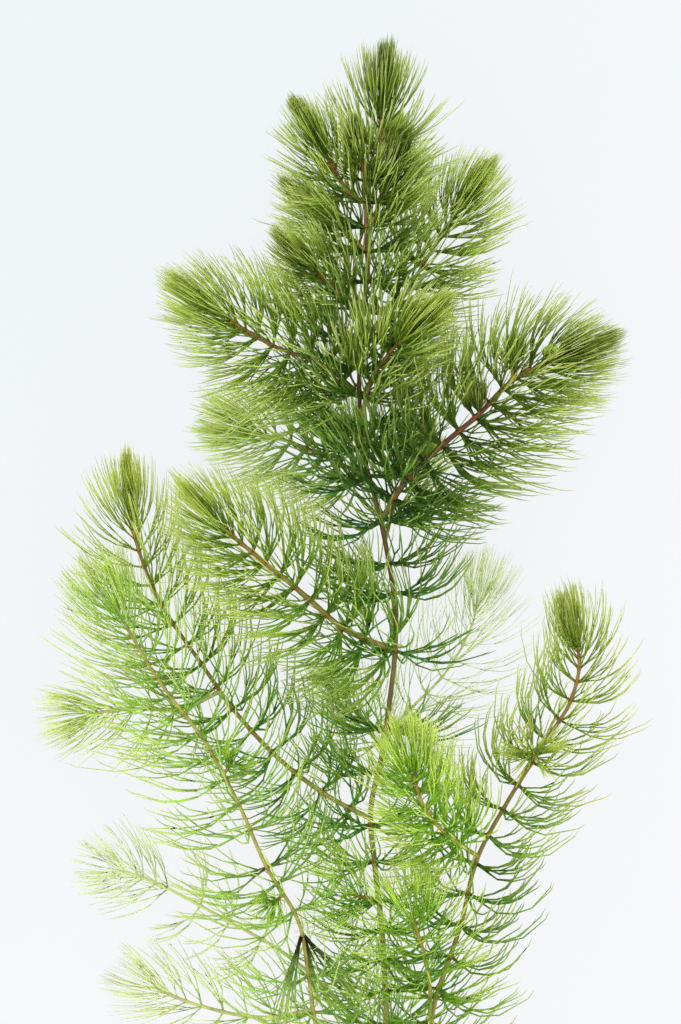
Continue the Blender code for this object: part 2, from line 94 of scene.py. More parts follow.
# Every shoot has the length of its full leaves and its route in mm, foot first, height last. Its
# tone runs from 0, dark old green, to 1, pale yellow-green; footTone is the tone near its foot.
# In nodes are the heights of whorls placed one by one. The stem's own tone and fading are bark
# and barkPallor.
shoots = {
    "main_stem": dict(
        parent=None, leaf=22, tone=0.1, thick=0.8, budShade=0.75, footTone=0.75, full=1.5, wide=6,
        dusk=0.1, parting=1.15,
        route=[(16, -143, 14), (14, -127, 15), (13, -111, 17), (12, -93, 20), (10, -75, 22.5),
               (9, -61, 24), (12, -46, 25), (14, -32, 25), (15.5, -18, 26), (15.5, -7, 26),
               (13.5, 7, 26), (11.5, 17, 26), (7, 35, 25), (6, 48, 25), (6, 60, 26),
               (8, 83, 26), (8, 102, 27), (11, 115, 27), (12, 126, 27), (13, 146.5, 27)],
        nodes=(-136, -127, -119, -110, -101, -93, -85.5, -75, -65, -51, -39, -18.5, -3, 5, 16.5,
               28, 36, 42, 50.5, 57, 64.5, 72.5, 80, 88, 94.5, 101, 108, 115, 120.5)),
    "top_left_shoot": dict(
        leaf=21, tone=0.25, budShade=0.5, gold=0.7, fresh=0.1,
        route=[(8, 101, 27), (3, 104, 29), (-1, 110, 32), (-7, 120.5, 36), (-11.5, 130.5, 39)]),
    "top_dark_bud": dict(
        leaf=12, tone=0.0, budShade=1.0, bud=4, full=0.5, gold=0.3,
        route=[(8, 104.5, 27), (6.5, 112.5, 32), (4, 125, 38)]),
    "top_right_bud": dict(
        leaf=21, tone=0.2, budShade=0.9, full=1.15, bud=6, gold=0.6,
        route=[(8, 93, 27), (10.5, 99, 26), (14.5, 108.5, 25), (18.5, 123.5, 24)]),
    "top_back_bud": dict(
        leaf=16, tone=0.45, budShade=0.1, bud=5,
        route=[(10.5, 114, 27), (14, 119, 19), (17.5, 130, 12)]),
    "high_left_shoot": dict(
        leaf=20, tone=0.3, budShade=0.3, gold=0.7, bud=5,
        route=[(8, 88, 26), (3, 92.5, 24), (-5, 99.5, 20), (-17.5, 110, 17)]),
    "left_front_shoot": dict(
        leaf=19, tone=0.15, budShade=0.3, gold=0.7, bud=4,
        route=[(6.5, 73, 26), (-1.5, 79, 30), (-10, 86.5, 36), (-18.5, 94.5, 41)]),
    "high_right_shoot": dict(
        leaf=22, tone=0.35, budShade=0.1, gold=0.6, full=1.45, bud=5, wide=12, claw=4, budBack=0.68,
        route=[(7, 64.5, 26), (12.5, 71, 21), (20.5, 81, 15), (28.5, 94, 12), (43, 114.5, 12)]),
    "right_front_shoot": dict(
        leaf=20, tone=0.35, budShade=0.1, gold=0.8, full=1.3, bud=5,
        route=[(6.5, 42, 25), (9, 53.5, 31), (15.5, 62.5, 38), (23.5, 70, 43), (32, 78, 46)]),
    "big_left_shoot": dict(
        leaf=24, tone=0.3, full=1.6, claw=6, bud=5, soft=4, stretch=0.85, wide=15, fresh=0.35,
        dusk=0.12, barkAge=0.62, parting=1.25,
        route=[(6.5, 50.5, 25), (-3.5, 57.5, 29), (-18.5, 63.5, 32), (-30.5, 71, 34),
               (-48, 82.5, 35)]),
    "pale_left_shoot": dict(
        leaf=21, tone=0.85, full=1.15, soft=22, bud=3, stretch=0.9, fresh=0.4, pallor=0.26, wide=10,
        bark=0.3, barkPallor=0.1, barkAge=0.6,
        route=[(8.5, 27.5, 25), (-2, 33, 18), (-15.5, 38.5, 13), (-25, 41, 11), (-42, 46.5, 10)]),
    "back_bud": dict(
        leaf=15, tone=0.9, fine=0.8, pallor=0.3,
        route=[(6, 56, 26), (4, 61, 18), (2, 67, 11)]),
    "back_left_bud": dict(
        leaf=15, tone=0.8, fine=0.8, pallor=0.2,
        route=[(6.5, 38, 25), (2, 41, 19), (-6, 46.5, 12)]),
    "big_right_shoot": dict(
        leaf=24, tone=0.05, thick=0.85, budShade=0.5, full=1.9, claw=4, gold=0.7, bud=5, stretch=0.88,
        wide=18, dusk=0.28, barkAge=0.6, parting=1.35,
        route=[(11.5, 16, 26), (16.5, 24.5, 29), (27.5, 36, 32), (37.5, 44.5, 34),
               (46.5, 53.5, 35), (59.5, 59.5, 36), (78.5, 66.5, 36)]),
    "big_right_back_twig": dict(
        parent="big_right_shoot", leaf=11, tone=0.5, gold=0.8, full=0.7, bud=4,
        route=[(46.5, 53.5, 35), (47, 60.5, 29), (47.5, 68, 24)]),
    "big_right_front_twig": dict(
        parent="big_right_shoot", leaf=16, tone=0.1, budShade=0.6,
        route=[(37.5, 44.5, 34), (37, 48.5, 40), (36.5, 54, 47)]),
    "big_right_small_bud": dict(
        parent="big_right_shoot", leaf=10, tone=0.35,
        route=[(56, 58, 36), (56, 60, 40), (55.5, 63, 45)]),
    "pale_right_shoot": dict(
        leaf=16, tone=0.55, fresh=0.3,
        route=[(13, 11, 26), (17, 25.5, 15), (23.5, 38, 11), (27, 45, 10)]),
    "middle_left_shoot": dict(
        leaf=23, tone=0.58, thick=0.8, bud=3, full=1.45, gold=0.7, stretch=0.85, fresh=0.25, wide=14,
        claw=8, barkAge=0.62, parting=1.25,
        route=[(14.5, -18.5, 26), (2, -12.5, 29), (-8.5, -3.5, 32), (-20, 6, 35),
               (-30.5, 15, 37), (-43.5, 31.5, 38)]),
    "long_left_shoot": dict(
        leaf=23, tone=0.6, thick=0.68, claw=10, bud=4, bark=0.45, gold=1.0, full=0.72, paling=0.92,
        fresh=0.5, budBack=0.7,
        route=[(9, -63.5, 24), (-1.5, -58, 21), (-14.5, -48.5, 19), (-26.5, -36, 18),
               (-36.5, -22, 18), (-48, -4.5, 18), (-54, 11, 18), (-56.5, 35.5, 17)]),
    "far_left_shoot": dict(
        parent="long_left_shoot", leaf=20, tone=1.0, fine=0.8, soft=26, full=0.38, bud=3,
        pallor=0.18, stretch=1.15, fresh=0.6, budBack=0.62, barkPallor=0.5,
        route=[(-31.5, -29.5, 18), (-41, -34, 15), (-56, -34.5, 12), (-80, -38, 11)]),
    "outer_left_stem": dict(
        leaf=27, tone=1.0, thick=0.62, fine=0.9, soft=22, wilted=(-94.5, -76), drooping=(-94.5,),
        bud=4, pallor=0.22, aged=0.3, gold=0.15, full=0.7, paling=0.92, fresh=0.4, barkPallor=0.1,
        claw=10, bare=14,
        route=[(15, -137.5, 14), (3.5, -131.5, 17), (-4.5, -122, 20), (-7.5, -106, 23),
               (-10, -91.5, 25), (-19, -75.5, 27), (-26, -59.5, 28), (-35, -43, 28),
               (-48, -25.5, 27), (-57, -10.5, 25), (-60.5, -4, 24), (-66, 12.5, 22)]),
    "outer_left_back_bud": dict(
        parent="outer_left_stem", leaf=11, tone=0.85, bud=2, soft=30, gold=0.1, full=0.5,
        paling=0.85,
        route=[(-30.5, -51, 28), (-27.5, -47.5, 34), (-25, -43, 41)]),
    "outer_left_front_bud": dict(
        parent="outer_left_stem", leaf=11, tone=0.85, bud=2, soft=30, gold=0.1, full=0.5,
        paling=0.85,
        route=[(-14.5, -83.5, 26), (-17.5, -85.5, 33), (-20, -87, 41)]),
    "low_left_back_shoot": dict(
        leaf=17, tone=1.0, full=0.29, fine=0.7, pallor=0.8, soft=26, bud=1, gold=0.0, aged=0.3,
        stretch=1.7, fresh=0.6, budBack=0.35, wilted=(-83, -79.7, -77), barkPallor=0.85,
        route=[(14.5, -128, 15), (4, -117, 12), (-11, -103, 10), (-32, -90.5, 10),
               (-53, -80, 10), (-67, -76, 10)]),
    "low_left_shoot": dict(
        parent="outer_left_stem", leaf=20, tone=1.0, fine=0.7, soft=20, full=0.4, bud=2, pallor=0.42,
        gold=0.85, stretch=1.3, fresh=1.0, barkPallor=0.5, budBack=0.66,
        route=[(-6, -114.5, 21.5), (-20, -117.5, 14), (-37.5, -114.5, 11), (-62, -103.5, 10)]),
    "right_stem": dict(
        leaf=21, tone=0.46, thick=0.72, budShade=0.1, claw=30, full=0.74, bud=3, bark=0.5, aged=0.7,
        gold=1.0, paling=0.92, fresh=0.4, soft=6, stretch=1.12, budBack=0.74,
        route=[(15, -134.5, 14), (23, -125, 16), (26.5, -111.5, 20), (33, -91.5, 25),
               (37.5, -73, 29), (45.5, -58, 30), (55.5, -42, 31), (62.3, -31, 30),
               (64.4, -21.5, 30), (63.0, -13, 29), (59.2, 0.5, 28)]),
    "right_front_bud": dict(
        parent="right_stem", leaf=13, tone=0.6, bud=3, soft=58, gold=0.8, full=0.8, fresh=0.5,
        budBack=0.42,
        route=[(52.5, -47.5, 31), (51.7, -45, 38), (51, -42, 47)]),
    "bright_front_shoot": dict(
        parent="right_stem", leaf=19, tone=1.0, soft=14, bud=3, gold=0.2, aged=0.6, fresh=0.3,
        full=1.5, stretch=0.92, claw=8, wide=14, parting=1.15, budBack=0.62,
        route=[(37.5, -73, 29), (30, -67.5, 35), (24, -61, 40), (19, -46, 44), (16.5, -34, 45)]),
    "pale_right_back_shoot": dict(
        leaf=23, tone=1.0, full=0.5, fine=0.55, pallor=0.68, soft=22, bud=4, gold=0.25, aged=0.3,
        stretch=1.05, fresh=0.9, barkPallor=0.85, claw=12, thick=0.42,
        route=[(13, -41, 25), (19.5, -34.5, 16), (29, -25, 12), (36, -13, 11), (39.5, 12, 11)]),
    "pale_back_shoot": dict(
        leaf=17, tone=0.9, fine=0.75, pallor=0.35, soft=12, full=0.75, bud=3, gold=0.1, fresh=0.5,
        route=[(12, -45, 25), (6, -35.5, 14), (-2, -26, 9), (-6, -18.5, 8)]),
    "lower_middle_shoot": dict(
        parent="right_stem", leaf=23, tone=0.8, soft=30, bud=2, gold=0.15, full=0.66, paling=0.95,
        stretch=1.45, claw=-8, fresh=0.3, wide=22, bark=1.0, budBack=0.66, barkAge=0.7,
        route=[(24.5, -119.5, 17), (24.5, -105, 27), (20.5, -90, 36), (17, -80, 41),
               (14.5, -72, 44)]),
    "short_left_shoot": dict(
        leaf=23, tone=0.8, bud=1, soft=34, gold=0.15, full=0.68, paling=0.95, stretch=1.3, fresh=0.2,
        wide=15,
        route=[(11, -85.5, 23), (3.5, -83, 28), (-4.5, -78, 32), (-12, -72, 34)]),
}
for shoot in shoots.values():
    own = {"footTone": shoot["tone"], "bark": shoot["tone"], "barkPallor": shoot.get("pallor", 0)}
    shoot.update({**usual, **own, **shoot})


# A smooth curve through points: between two of them it is a cubic whose slope at each point is
# the mean of the straight slopes on both sides, weighted by the other side's length.
def smoothLine(points, step):
    spans = np.diff(points, axis=0)
    lengths = np.linalg.norm(spans, axis=1)
    slopes = spans / lengths[:, None]
    before, after = lengths[:-1, None], lengths[1:, None]
    inner = (slopes[:-1] * after + slopes[1:] * before) / (before + after)
    tangents = np.concatenate([slopes[:1], inner, slopes[-1:]])
    parts = [points[:1]]
    for i, length in enumerate(lengths):
        t = np.linspace(0, 1, max(2, round(length / step) + 1))[1:, None]
        parts.append(points[i] * (2 * t**3 - 3 * t**2 + 1) + points[i + 1] * (3 * t**2 - 2 * t**3)
                     + tangents[i] * length * (t**3 - 2 * t**2 + t)
                     + tangents[i + 1] * length * (t**3 - t**2))
    return np.concatenate(parts)


# Each vector divided by its own length.
def unit(vectors):
    return vectors / np.linalg.norm(vectors, axis=-1, keepdims=True)


# A centre line with even steps: its points, their headings, and a direction across it, which
# starts level and is then the last one with the new heading taken out.
def centreLine(points):
    step = sprig["lineStep"] * mm
    fine = smoothLine(points, step / sprig["finer"])
    along = np.concatenate([[0], np.cumsum(np.linalg.norm(np.diff(fine, axis=0), axis=1))])
    places = np.linspace(0, along[-1], int(along[-1] / step))
    line = np.stack([np.interp(places, along, fine[:, k]) for k in range(3)], 1)
    heading = unit(np.gradient(line, places, axis=0))
    across = np.empty_like(line)
    side = np.cross(heading[0], (0, 0, 1.0))
    for i, way in enumerate(heading):
        side = side - way * (side @ way)
        side = side / np.linalg.norm(side)
        across[i] = side
    return dict(places=places, line=line, heading=heading, across=across)


# What a stem has at the lengths s, in between its points. A direction keeps the length one.
def read(stem, key, s):
    values = np.stack([np.interp(s, stem["places"], stem[key][:, k]) for k in range(3)], -1)
    return values if key == "line" else unit(values)


# Distances between whorls in mm, from the crowded bud back to the open spacing of the old stem.
whorlSteps = (0.3, 0.3, 0.35, 0.35, 0.4, 0.5, 0.6, 1.0, 1.5, 2.2, 3.4, 4.6, 5.3, 5.8, 6.2, 6.5, 6.8,
              7.1, 7.4, 7.7, 8.0, 8.3, 8.6, 9.0, 9.4) + (10.0,) * 12
whorlPlaces = {
    "crowded": 10,  # whorls of the bud, which stay where the steps put them
    "clear": 2.0,  # mm between them and those listed one by one
    "bareMost": 0.3,  # the most of a stem that is bare at its foot
    "same": 0.6,  # mm within which a height means the same whorl
}


# The lengths at which a stem's whorls stand: those listed one by one and the bud's, or the tip's
# length less the running sum of the steps. A brown whorl's height moves the nearest one to it.
def placeWhorls(shoot, stem):
    tip = stem["length"]
    if "nodes" in shoot:
        heights = (np.array(shoot["nodes"]) - sprig["middle"][1]) * mm
        given = np.interp(heights, stem["line"][:, 1], stem["places"])
        crowded = tip - np.cumsum(whorlSteps[:whorlPlaces["crowded"]]) * mm
        given = given[given < crowded[-1] - whorlPlaces["clear"] * mm]
        return np.sort(np.concatenate([given, crowded]))
    places = tip - np.cumsum(whorlSteps) * shoot["stretch"] * mm
    places = places[places > min(shoot["bare"] * mm, whorlPlaces["bareMost"] * tip)]
    for height in shoot["wilted"]:
        level = np.abs(stem["line"][:, 1] - (height - sprig["middle"][1]) * mm).argmin()
        places[np.abs(places - stem["places"][level]).argmin()] = stem["places"][level]
    return np.sort(places)


stems = {}
for name, shoot in shoots.items():
    route = (np.array(shoot["route"], float) - (*sprig["middle"], 0)) * mm
    if shoot["parent"]:
        parent = stems[shoot["parent"]]
        near = np.argmin(np.linalg.norm(parent["line"] - route[0], axis=1))
        route[0] = parent["line"][near]
    whole = centreLine(route)
    length, back = whole["places"][-1], shoot["budBack"] * shoot["leaf"] * mm
    cut = whole["places"] <= max(length - back, sprig["stemLeast"] * length)
    stem = {key: values[cut] for key, values in whole.items()}
    stem["length"] = stem["places"][-1]
    stem["whorls"] = placeWhorls(shoot, stem)
    stems[name] = stem
print("centre lines", len(stems), "whorls", sum(len(s["whorls"]) for s in stems.values()))

stemLook = {
    "sides": 10,
    "flutes": 5,
    "fluteDepth": 0.04,
    "slimming": 0.35,  # the share of its radius that it loses from foot to tip
    "taper": 6.0,  # mm before the tip where it narrows faster,
    "point": 0.25,  # and the least share that is left
    "swell": 0.36,  # how much thicker it is at a whorl
    "swellWidth": 0.7,  # mm
    "knotWidth": 0.8,  # mm, the reach of the red at a whorl
}


# A bell curve of the distance to the nearest whorl, which is one at the whorl.
def nearWhorl(stem, s, width):
    return np.exp(-((s[..., None] - stem["whorls"]) / (width * mm)) ** 2).max(-1)


# A stem's radius: its foot's, less an even loss along it, times the distance to the tip over the
# taper's length, times one plus the swelling's bell curve.
def stemRadius(name, s):
    stem = stems[name]
    slim = 1 - stemLook["slimming"] * s / stem["length"]
    toTip = np.clip((stem["length"] - s) / (stemLook["taper"] * mm), stemLook["point"], 1)
    swollen = 1 + stemLook["swell"] * nearWhorl(stem, s, stemLook["swellWidth"])
    return shoots[name]["thick"] * mm * slim * toTip * swollen


# The faces between rings of points: a point, the next one round, and both on the next ring.
def ringFaces(rings, sides):
    ring, around = np.meshgrid(np.arange(rings - 1), np.arange(sides), indexing="ij")
    here = ring * sides + around
    beside = ring * sides + (around + 1) % sides
    return np.stack([here, beside, beside + sides, here + sides], -1).reshape(-1, 4)


# Joins parts key by key. Faces are counted on past the points of the parts before.
def joinParts(parts, pointKey):
    shifts = np.cumsum([0] + [len(part[pointKey]) for part in parts[:-1]])
    return {key: np.concatenate([part[key] + shift * (key in ("quads", "caps"))
                                 for part, shift in zip(parts, shifts)]) for key in parts[0]}


# A stem: rings of points that stand off the centre line by the stem's radius times the cosine
# and sine of their angle, with a shallow wave round them for the flutes, and a cap at each end.
def stemTube(name):
    shoot, stem = shoots[name], stems[name]
    s, sides = stem["places"], stemLook["sides"]
    angle = np.arange(sides) * 2 * math.pi / sides
    up = np.cross(stem["heading"], stem["across"])
    flute = 1 + stemLook["fluteDepth"] * np.cos(stemLook["flutes"] * angle)
    radius = stemRadius(name, s)[:, None] * flute
    points = (stem["line"][:, None] + radius[..., None] * (
        np.cos(angle)[:, None] * stem["across"][:, None] + np.sin(angle)[:, None] * up[:, None]))
    first = np.arange(sides)
    place = np.repeat(s / stem["length"], sides)
    return dict(
        points=points.reshape(-1, 3), quads=ringFaces(len(s), sides),
        caps=np.array([first[::-1], first + (len(s) - 1) * sides]),
        place=place, age=(1 - place) * shoot["barkAge"],
        knot=np.repeat(nearWhorl(stem, s, stemLook["knotWidth"]), sides),
        tone=np.full(len(place), shoot["bark"]), pallor=np.full(len(place), shoot["barkPallor"]))


# One leaf is a tree of thin three-sided threads. Along it runs u, and across it a and b, all as
# shares of its length. Each fork parts a thread in two that swing apart at once and then run
# nearly side by side. A last thread ends in a point.
leafLook = {
    "variants": 14,
    "radius": ((0.0, 0.25, 0.6, 1.0), (0.32, 0.2, 0.165, 0.098)),  # mm, from foot to tips
    "forks": ((0.07, 0.17), (0.24, 0.38), (0.44, 0.6)),  # the u of each fork, from and to
    "forkStray": (0.94, 1.06),  # times that, for a single thread
    "ends": (0.86, 1.0),  # the u of a thread's end
    "row": 0.17,  # between rings of points,
    "budRow": 0.2,  # and in a bud leaf
    "spread": (0.055, 0.036, 0.02),  # how far each fork parts its threads
    "fan": (0.115, 0.095, 0.065),  # how fast they go on parting
    "uneven": (0.7, 1.3),  # times those two, for a single fork
    "planeTurn": 1.2,  # radians from a fork's plane to the next one's,
    "planeStray": 0.3,  # and its spread
    "footPlaneStray": 0.6,  # the spread of a full leaf's first plane
    "budThin": 0.75,  # a bud leaf's radius beside a full leaf's
    "thirdFork": 0.12,  # how often a full leaf's thread forks a third time
    "swing": 0.25,  # the length over which threads swing apart
    "curl": 0.085,  # how far a thread bends
    "wave": 0.0015,  # how far it strays from its line
    "overlap": 0.004,  # how far it starts inside the one before
    "point": 0.08,  # the most that its point takes up
    "sides": 3,
}


# A thread: rings of points, each with u, a and b of the thread's line, the radius r, and its own
# offsets ra and rb, which are the radius times the cosine and sine of its angle.
def threadTube(u, offset, radius, turn, pointed):
    sides = leafLook["sides"]
    rows = len(u) - pointed
    ring = np.arange(sides)
    angle = turn + ring * 2 * math.pi / sides
    line = {"u": u, "a": offset[:, 0], "b": offset[:, 1], "r": radius}
    tube = {key: np.repeat(values[:rows], sides) for key, values in line.items()}
    tube["ra"] = (radius[:rows, None] * np.cos(angle)).ravel()
    tube["rb"] = (radius[:rows, None] * np.sin(angle)).ravel()
    tube["side"] = np.tile(ring, rows)
    last = ring + (rows - 1) * sides
    ends = [last]
    if pointed:
        point = {"u": u[-1], "a": offset[-1, 0], "b": offset[-1, 1]}
        tube = {key: np.append(values, point.get(key, 0)) for key, values in tube.items()}
        ends = np.stack([last, np.roll(last, -1), np.full(sides, rows * sides)], 1)
    return dict(tube, quads=ringFaces(rows, sides), caps=np.array([ring[::-1], *ends]))


# A leaf: its threads' offsets are where a thread starts, plus its drift times the way run, plus
# the curl times that way squared, plus its part times one minus an exponential, plus the wave.
def leafTemplate(rng, small):
    look = leafLook
    forks = [rng.uniform(*span) for span in look["forks"]]
    firstPlane = rng.uniform(0, math.pi) if small else rng.normal(0, look["footPlaneStray"])
    thin = look["budThin"] if small else 1
    parts = []
    none = np.zeros(2)
    threads = [dict(start=0.0, level=0, at=none, drift=none, part=none)]
    while threads:
        thread = threads.pop(0)
        level = thread["level"]
        more = level < 2 or (level == 2 and not small and rng.random() < look["thirdFork"])
        end = forks[level] * rng.uniform(*look["forkStray"]) if more else rng.uniform(*look["ends"])
        row = look["budRow"] if small else look["row"]
        rows = max(2, round((end - thread["start"]) / row) + 1)
        u = np.linspace(thread["start"], end, rows)
        if not more:
            u[-2] = max(u[-2], end - look["point"])
        run = (u - thread["start"])[:, None]
        curl = rng.normal(0, look["curl"], 2)
        offset = (thread["at"] + thread["drift"] * run + curl * run**2
                  + thread["part"] * (1 - np.exp(-run / look["swing"]))
                  + rng.normal(0, look["wave"], (rows, 2)) * (run > 0))
        radius = np.interp(u, *look["radius"]) * thin * mm
        parts.append(threadTube(u, offset, radius, rng.uniform(0, 2), not more))
        if more:
            plane = firstPlane + level * look["planeTurn"] + rng.normal(0, look["planeStray"])
            across = np.array((math.cos(plane), math.sin(plane))) * rng.uniform(*look["uneven"])
            slope = thread["drift"] + 2 * curl * run[-1]
            for way in (-across, across):
                threads.append(dict(
                    start=end - look["overlap"], level=level + 1, at=offset[-1],
                    drift=slope + way * look["fan"][level], part=way * look["spread"][level]))
    return joinParts(parts, "u")


rng = np.random.default_rng(sprig["leafSeed"])
bigLeaves = [leafTemplate(rng, False) for _ in range(leafLook["variants"])]
budLeaves = [leafTemplate(rng, True) for _ in range(leafLook["variants"])]
print("leaf templates", len(bigLeaves) + len(budLeaves))

# How a leaf changes with far, its distance from the growing point in mm for a full leaf of 20 mm:
# its length, its angles to the stem in degrees at foot and tips, how widely its threads part, and
# how wide they are. The youngest leaves close up into a long spindle.
growth = {
    "far": (0, 2.8, 3.6, 5.5, 8, 12, 18, 30, 50, 80),
    "length": (0.82, 0.86, 0.9, 0.96, 1.02, 1.08, 1.12, 1.15, 1.16, 1.12),
    "footAngle": (5, 19, 22, 30, 40, 52, 62, 74, 88, 98),
    "tipAngle": (-3, -12, -2, 4, 10, 17, 23, 25, 22, 20),
    "parting": (0.22, 0.36, 0.42, 0.54, 0.66, 0.76, 0.86, 0.94, 1.02, 1.1),
    "width": (0.9, 0.85, 0.72, 0.76, 0.85, 1.0, 1.18, 1.34, 1.45, 1.5),
}

# The whorls. A distance is a whorl's from the growing point, as above.
whorlLook = {
    "fullLeaf": 20,  # mm, the leaf that distances are given for
    "leaves": 9,  # and one more or fewer by chance
    "fewest": 4,
    "thinned": ((70, 160), (1, 0.68)),  # distances, and the share of leaves left
    "budReach": 2.9,  # how far the bud reaches
    "twist": 2.4,  # radians from one whorl to the next
    "flatness": 0.42,  # how far leaves turn to the stem's two sides
    "inStem": 0.7,  # where in the stem's radius a leaf starts
    "floorGap": 0.05,  # mm under a thread that lies on the floor
    "firstLoose": 0.35,  # how freely leaves stray in the bud,
    "looser": 40,  # and the distance over which that grows by one
    "clawFull": 12,  # the distances at which claw
    "wideFull": 10,  # and wide have their whole effect,
    "softReach": 9,  # and over which soft falls off to a third
    "bends": ((1.0, 0.5, 1.15), (0.4, -1.0, 0.6)),  # what wide, claw and soft do at foot and tips
    "ripe": (0.25, 0.5),  # of the stem, where footTone turns to tone
}

# What a whorl's pose adds to leaves, foot, tip and tone, and multiplies the others by.
whorlPoses = {
    "open": dict(leaves=0, foot=0, tip=0, tone=0, stray=1, parting=1, width=1),
    "hanging": dict(leaves=2, foot=42, tip=138, tone=-0.6, stray=3, parting=0.4, width=1.15),
}

# Chance: a number is a spread round nothing, and a pair a range that a value is multiplied by.
# Turn is in radians, the other angles in degrees. Tone has its spreads in the bud and far from it.
chance = {
    "turn": 0.14, "tilt": 3.5, "foot": 6, "tip": 8, "sway": 0.05, "tone": (0.07, 0.15),
    "soft": (0.0, 1.5), "length": (0.86, 1.08), "parting": (0.8, 1.25), "gold": (0.7, 1.2),
    "wilt": (0.5, 1),
}

# How colour changes along a shoot: how much, and the distance over which that falls off to a
# third or, where there are two, between which it sets in.
colouring = {
    "young": (0.25, 16),  # tone added at the tip
    "older": 0.05,  # tone taken off everywhere
    "gold": 28,
    "budShade": (0.6, 7),  # of the bud's painted shade, on the young leaves outside the bud
    "fresh": 10,
    "shut": (0.22, 5),  # lightness that the tips of closed leaves lack
    "worn": (0.15, (50, 110)),  # and those of old leaves
    "dusk": (8, 40),
    "aged": (25, 75),  # mm
}

# What the meshes carry for the two materials.
leafValues = ("along", "tone", "gold", "budShade", "old", "one", "pallor", "wilt")
stemValues = ("age", "knot", "tone", "pallor")


# A batch of leaves. The middle of a leaf is an arc whose angle to the stem changes evenly from
# foot to tip, so its place is the integral of the sine and cosine of that angle. Every thread
# point stands off that arc by its two offsets, and what would sink below the floor lies on it.
# A point's lightness, along, runs evenly from the leaf's fresh foot to its top.
def placeLeaves(template, leaves):
    each = {key: values[:, None] for key, values in leaves.items()}
    u, length, fine = template["u"], each["length"], each["fine"]
    start, change = each["foot"], each["tip"] - each["foot"]
    angle = start + change * u
    out = length * (np.cos(start) - np.cos(angle)) / change
    ahead = length * (np.sin(angle) - np.sin(start)) / change
    side = np.cross(each["forward"], each["outward"])
    a = template["a"] * (length * each["parting"])
    b = template["b"] * (length * each["parting"]) + each["sway"] * length * u**2

    def spot(a, b):
        return (each["base"] + (ahead - a * np.sin(angle))[..., None] * each["forward"]
                + (out + a * np.cos(angle))[..., None] * each["outward"] + b[..., None] * side)

    lowest = template["r"] * fine + whorlLook["floorGap"] * mm
    lift = np.maximum(0, lowest - spot(a, b)[..., 2])
    points = spot(a + template["ra"] * fine, b + template["rb"] * fine)
    points[..., 2] += lift
    along = (each["fresh"] + (each["top"] - each["fresh"]) * u) * each["paling"]
    count, size = len(length), len(u)
    shift = np.arange(count)[:, None, None] * size
    batch = {key: np.repeat(leaves[key], size) for key in leafValues[1:]}
    return dict(batch, points=points.reshape(-1, 3), along=along.ravel(), share=np.tile(u, count),
                side=np.tile(template["side"], count), sizes=np.full(count, size),
                quads=(template["quads"] + shift).reshape(-1, 4),
                caps=(template["caps"] + shift).reshape(-1, 3))


# Whether a height in mm is that of a marked whorl.
def isNear(height, spots):
    return any(abs(height - spot) < whorlPlaces["same"] for spot in spots)


# A value that falls off from the tip: its most times the exponential of minus far over reach.
def fall(far, most, reach):
    return most * math.exp(-far / reach)


# A value that sets in evenly between two distances.
def rise(far, most, span):
    return most * np.interp(far, span, (0, 1))


